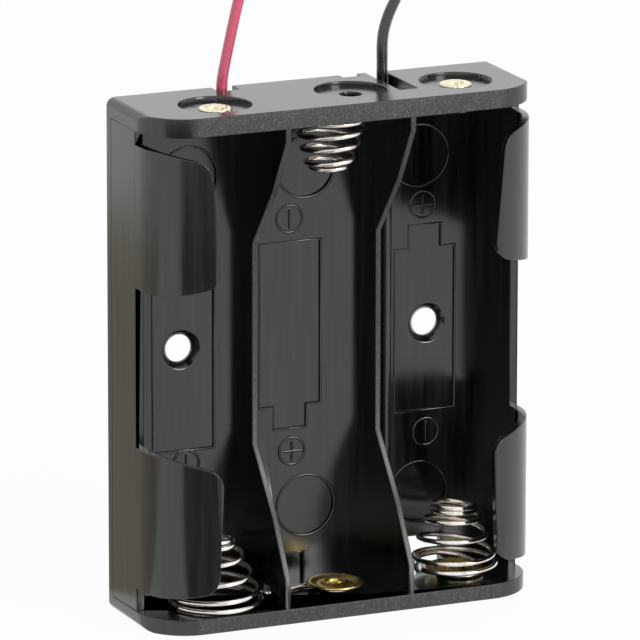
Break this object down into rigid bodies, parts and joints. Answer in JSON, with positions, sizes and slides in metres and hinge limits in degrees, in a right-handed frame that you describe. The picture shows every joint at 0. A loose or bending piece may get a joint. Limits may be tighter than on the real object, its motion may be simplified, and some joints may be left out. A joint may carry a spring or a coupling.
{
  "type": "cylindrical cell holder",
  "caption": "Open moulded holder for R6 (AA) cells side by side, with conical contact springs, brass eyelets, curled retaining lips, countersunk screw holes and flying leads.",
  "frame": {"origin": "centre of the standing face, under the middle of the holder without its free leads", "axes": "+X across the cells towards the black lead's bay, +Y towards the back of the floor that screws down, +Z along the cells towards the end wall that the leads leave through"},
  "size_m": [0.0476, 0.0347, 0.0747],
  "materials": {
    "housing": "satin black, finely grained",
    "spring": "bright nickel plate",
    "eyelet": "plain brass, slightly tarnished",
    "tag": "tinned brass",
    "solder": "dull tin solder",
    "red_pvc": "soft glossy insulation",
    "black_pvc": "soft glossy insulation"
  },
  "bodies": {
    "root": {"housing": "housing", "contact_spring_left": "spring", "contact_spring_centre": "spring", "contact_spring_right": "spring", "eyelet_left_positive": "eyelet", "eyelet_centre_positive": "eyelet", "eyelet_right_positive": "eyelet", "eyelet_right_negative": "eyelet", "solder_tag": "tag", "solder_joint_red": "solder", "solder_joint_black": "solder", "red_lead_inner": "red_pvc", "black_lead_inner": "black_pvc", "red_lead": "red_pvc", "black_lead": "black_pvc", "red_lead_coil": "red_pvc", "black_lead_coil": "black_pvc", "red_lead_end": "solder", "black_lead_end": "solder"}
  },
  "joints": []
}
